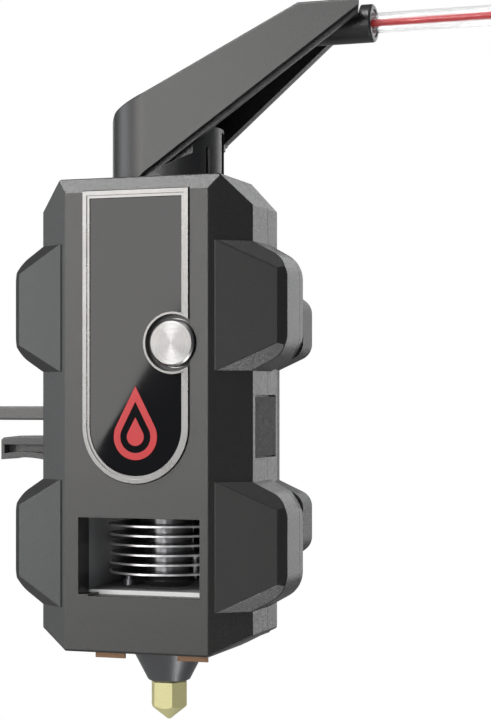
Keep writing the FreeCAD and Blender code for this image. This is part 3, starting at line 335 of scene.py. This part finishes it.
def finned_metal(name, colour, rim_radius):
    """A turned stack of fins: polished faces and core darkened as painted shade, and satin rims outside a
    radius from the feed axis painted near white as a highlight.
    """
    made = Nodes(name).set(Metallic=1)
    offset = made.add("ShaderNodeVectorMath", operation="SUBTRACT")
    offset.inputs[1].default_value = (0, AXIS_Y, 0)
    made.join(made.place, offset.inputs[0])
    flat = made.add("ShaderNodeVectorMath", operation="MULTIPLY")
    flat.inputs[1].default_value = (1, 1, 0)
    made.join(offset.outputs["Vector"], flat.inputs[0])
    length = made.add("ShaderNodeVectorMath", operation="LENGTH")
    made.join(flat.outputs["Vector"], length.inputs[0])
    rim = made.add("ShaderNodeMapRange")
    rim.inputs["From Min"].default_value = rim_radius - RIM_WIDTH
    rim.inputs["From Max"].default_value = rim_radius
    made.join(length.outputs["Value"], rim.inputs["Value"])
    rim_highlight_mask = rim.outputs["Result"]
    lines = made.noise(FIN_LINE_SCALE, 2, (1, 1, 20))
    # painted shade: fin faces and core kept dark so the gaps read black
    shaded_core = made.blend(lines, shade(colour, 0.85), shade(colour, 1.05))
    colour_mix = made.add("ShaderNodeMix", data_type="RGBA")
    made.join(rim_highlight_mask, colour_mix.inputs["Factor"])
    made.join(shaded_core, colour_mix.inputs["A"])
    # painted highlight: near-white colour on the fin rims
    colour_mix.inputs["B"].default_value = (0.95, 0.95, 0.95, 1)
    made.join(colour_mix.outputs["Result"], made.shader.inputs["Base Color"])
    for socket, face, edge in (("Roughness", 0.3, 0.34), ("Metallic", 1.0, 0.9)):
        level = made.add("ShaderNodeMapRange")
        level.inputs["To Min"].default_value = face
        level.inputs["To Max"].default_value = edge
        made.join(rim_highlight_mask, level.inputs["Value"])
        made.join(level.outputs["Result"], made.shader.inputs[socket])
    made.bump(lines, 0.2, TOOLING_DEPTH, radius=FIN_EDGE)
    return made.material


def clear_plastic(name):
    """Clear drawn tube with faint haze along it."""
    made = Nodes(name).set(Transmission_Weight=1.0, IOR=1.28, Alpha=0.7)
    haze = made.noise(HAZE_SCALE, 3, (0.1, 1, 1))
    made.join(made.blend(haze, (0.93, 0.94, 0.95), (1, 1, 1)), made.shader.inputs["Base Color"])
    made.spread(haze, 0.02, 0.07, made.shader.inputs["Roughness"])
    made.bump(haze, 0.1, HAZE_DEPTH)
    return made.material


BUTTON_CENTRE = (9.6 * MM, 0, 19.9 * MM)
SINK_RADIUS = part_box("heat_sink")[1][0]
MATERIALS = {
    "shell_plastic": grained_plastic("shell_plastic", (0.0178, 0.017, 0.016), roughness=0.38, specular=0.92),
    "inset_plastic": grained_plastic("inset_plastic", (0.02, 0.02, 0.022), roughness=0.55, specular=0.25),
    "dock_plastic": grained_plastic("dock_plastic", (0.03, 0.03, 0.031), roughness=0.45, specular=0.6),
    "arm_plastic": grained_plastic("arm_plastic", (0.02, 0.0197, 0.0193), roughness=0.36, specular=0.95,
                                   uneven=0.01),
    "dark_plastic": grained_plastic("dark_plastic", (0.02, 0.02, 0.021), roughness=0.36, specular=0.9),
    "bar_plastic": grained_plastic("bar_plastic", (0.12, 0.117, 0.115), roughness=0.45, specular=0.7),
    "chrome_trim": machined_metal("chrome_trim", (0.29, 0.287, 0.282), stretch=(1, 1, 1), scale=900),
    "glass_black": gloss("glass_black", (0.006, 0.006, 0.007), roughness=0.02),
    "emblem_red": gloss("emblem_red", (0.62, 0.03, 0.035), roughness=0.25),
    "spun_aluminium": spun_metal("spun_aluminium", (0.4, 0.395, 0.39), BUTTON_CENTRE),
    "circuit_board": gloss("circuit_board", (0.02, 0.13, 0.06), roughness=0.3),
    "component_black": grained_plastic("component_black", (0.02, 0.02, 0.021), roughness=0.45),
    "steel": machined_metal("steel", (0.6, 0.6, 0.62), roughness=0.3),
    "screw_steel": machined_metal("screw_steel", (0.42, 0.42, 0.44), roughness=0.35),
    "motor_black": grained_plastic("motor_black", (0.025, 0.025, 0.027), roughness=0.35),
    "wheel_plastic": grained_plastic("wheel_plastic", (0.7, 0.7, 0.68), roughness=0.45),
    "brass": machined_metal("brass", (0.98, 0.9, 0.46), roughness=0.34, stretch=(1, 1, 12), metallic=0.35),
    "gold_contacts": machined_metal("gold_contacts", (0.9, 0.68, 0.3), roughness=0.15),
    # dark grey is painted shade on the fin faces and core; the rims are painted white as a highlight
    "sink_aluminium": finned_metal("sink_aluminium", (0.3, 0.3, 0.31), SINK_RADIUS - RIM_INSET),
    "stainless": machined_metal("stainless", (0.6, 0.6, 0.6), roughness=0.2),
    "ptfe": gloss("ptfe", (0.85, 0.85, 0.83), roughness=0.3),
    # the grey colour is painted shade on the board's flat faces; the white is its cut edges
    "insulator_white": fibre_board("insulator_white", (0.3, 0.3, 0.3), (0.97, 0.97, 0.96)),
    "shroud_grey": machined_metal("shroud_grey", (0.2, 0.202, 0.208), roughness=0.3, stretch=(20, 20, 1),
                                  scale=120, metallic=0.85),
    "copper_shield": machined_metal("copper_shield", (0.26, 0.16, 0.1), roughness=0.4),
    "clear_tube": clear_plastic("clear_tube"),
    "fitting_plastic": grained_plastic("fitting_plastic", (0.05, 0.05, 0.052), roughness=0.4),
    "collet_plastic": grained_plastic("collet_plastic", (0.8, 0.8, 0.8), roughness=0.4),
    "filament_red": gloss("filament_red", (0.42, 0.025, 0.03), roughness=0.4),
    "duct_plastic": grained_plastic("duct_plastic", (0.6, 0.606, 0.615), roughness=0.4, specular=0.5),
}
SLOT_OF = {entry["node"]: entry["material_slot"] for entry in frame["record"]["subparts"]}


def paint(item, slot):
    item.data.materials.clear()
    item.data.materials.append(MATERIALS[slot])


for node_name, item in NODES.items():
    paint(item, SLOT_OF[node_name])
paint(guide_tube, "clear_tube")
paint(NODES["air_duct"], "duct_plastic")


# ---------------------------------------------------------------------------
# Stage: white floor, soft lights, white behind
# ---------------------------------------------------------------------------
FLOOR_HALF, FLOOR_Z = 6, -0.3
WORLD_FILL = 0.12
LIGHT_AIM = Vector((0, -10, 0)) * MM
COOL, WARM = (0.95, 0.98, 1), (1, 0.98, 0.96)


def white_to_camera(tree, dim, output):
    """Plain white where the camera, or a ray through clear plastic, sees it; dim for all other light."""
    kind = "ShaderNodeBackground" if output.bl_idname.endswith("World") else "ShaderNodeEmission"
    white = tree.nodes.new(kind)
    white.inputs["Color"].default_value = (1, 1, 1, 1)
    white.inputs["Strength"].default_value = 1
    path = tree.nodes.new("ShaderNodeLightPath")
    seen = tree.nodes.new("ShaderNodeMath")
    seen.operation = "MAXIMUM"
    mix = tree.nodes.new("ShaderNodeMixShader")
    tree.links.new(path.outputs["Is Camera Ray"], seen.inputs[0])
    tree.links.new(path.outputs["Is Transmission Ray"], seen.inputs[1])
    tree.links.new(seen.outputs[0], mix.inputs["Fac"])
    tree.links.new(dim, mix.inputs[1])
    tree.links.new(white.outputs[0], mix.inputs[2])
    tree.links.new(mix.outputs[0], output.inputs["Surface"])


def make_floor():
    data = bpy.data.meshes.new("floor")
    corners = [(x * FLOOR_HALF, y * FLOOR_HALF, FLOOR_Z) for x, y in ((-1, -1), (1, -1), (1, 1), (-1, 1))]
    data.from_pydata(corners, [], [(0, 1, 2, 3)])
    floor = bpy.data.objects.new("floor", data)
    scene.collection.objects.link(floor)
    made = Nodes("floor")
    grain = made.noise(40, 2)
    made.join(made.blend(grain, (0.3, 0.3, 0.3), (0.33, 0.33, 0.33)), made.shader.inputs["Base Color"])
    made.set(Roughness=0.9)
    white_to_camera(made.tree, made.shader.outputs[0], made.tree.nodes["Material Output"])
    data.materials.append(made.material)


def card_light(name, size, radiance, colour):
    """A rectangular area light whose energy is set from its radiance, so its size doesn't dim it."""
    data = bpy.data.lights.new(name, "AREA")
    data.shape = "RECTANGLE"
    data.size, data.size_y = size
    data.energy = radiance * math.pi * size[0] * size[1]
    data.color = colour
    light = bpy.data.objects.new(name, data)
    scene.collection.objects.link(light)
    return light


def panel(name, azimuth, rise, distance, size, radiance, colour=(1, 1, 1)):
    """A soft light at an azimuth (0 in front, 90 to the right) and rise in degrees, facing the object."""
    light = card_light(name, size, radiance, colour)
    turn, lift = math.radians(azimuth), math.radians(rise)
    away = Vector((math.sin(turn) * math.cos(lift), -math.cos(turn) * math.cos(lift), math.sin(lift)))
    light.location = LIGHT_AIM + away * distance
    light.rotation_euler = away.to_track_quat("Z", "Y").to_euler()


def slanted_card():
    """The large front light. Its straight right edge leans, and crosses the glass panel as a diagonal."""
    width, height, radiance, slide = 0.8, 1.0, 3.25, -0.02
    edge_point, lean = Vector((-0.47, -1.229, 0.05)), math.radians(56.5)
    along = Vector((math.cos(lean), 0, math.sin(lean)))
    inward = Vector((-math.sin(lean), 0, math.cos(lean)))
    centre = edge_point + inward * width / 2 + along * slide
    facing = Matrix((-inward, along, Vector((0, -1, 0)))).transposed().to_4x4()
    light = card_light("front_card", (width, height), radiance, WARM)
    light.matrix_world = Matrix.Translation(centre) @ facing


def make_world():
    world = bpy.data.worlds.new("studio")
    scene.world = world
    world.use_nodes = True
    tree = world.node_tree
    fill = tree.nodes["Background"]
    fill.inputs["Color"].default_value = (0.9, 0.95, 1, 1)
    fill.inputs["Strength"].default_value = WORLD_FILL
    white_to_camera(tree, fill.outputs[0], tree.nodes["World Output"])


make_floor()
make_world()
slanted_card()
# each card: azimuth, rise, distance, (width, height), radiance
panel("left_card", -78, 3, 1.2, (0.62, 0.9), 2.2, COOL)
panel("top_card", -36, 54, 1.0, (0.55, 0.5), 7.2)
panel("wing_card", 75, 65, 1.2, (0.38, 0.38), 1.5)
panel("right_side_card", 108, 2, 1.3, (0.5, 0.9), 0.2)
panel("right_fill", 24, -2, 1.4, (0.35, 0.8), 1.0)
panel("front_kicker", -4, 4, 0.7, (0.12, 0.12), 14)
panel("side_fill", -30, -25, 0.9, (0.5, 0.3), 1.5)
panel("back_right_card", 164, 13, 1.2, (0.9, 1.1), 1.6)
panel("under_card", 62, -52, 0.3, (0.07, 0.1), 7)
panel("back_left_card", -150, 10, 1.2, (0.6, 0.8), 2.0)
scene.view_settings.view_transform = "Standard"
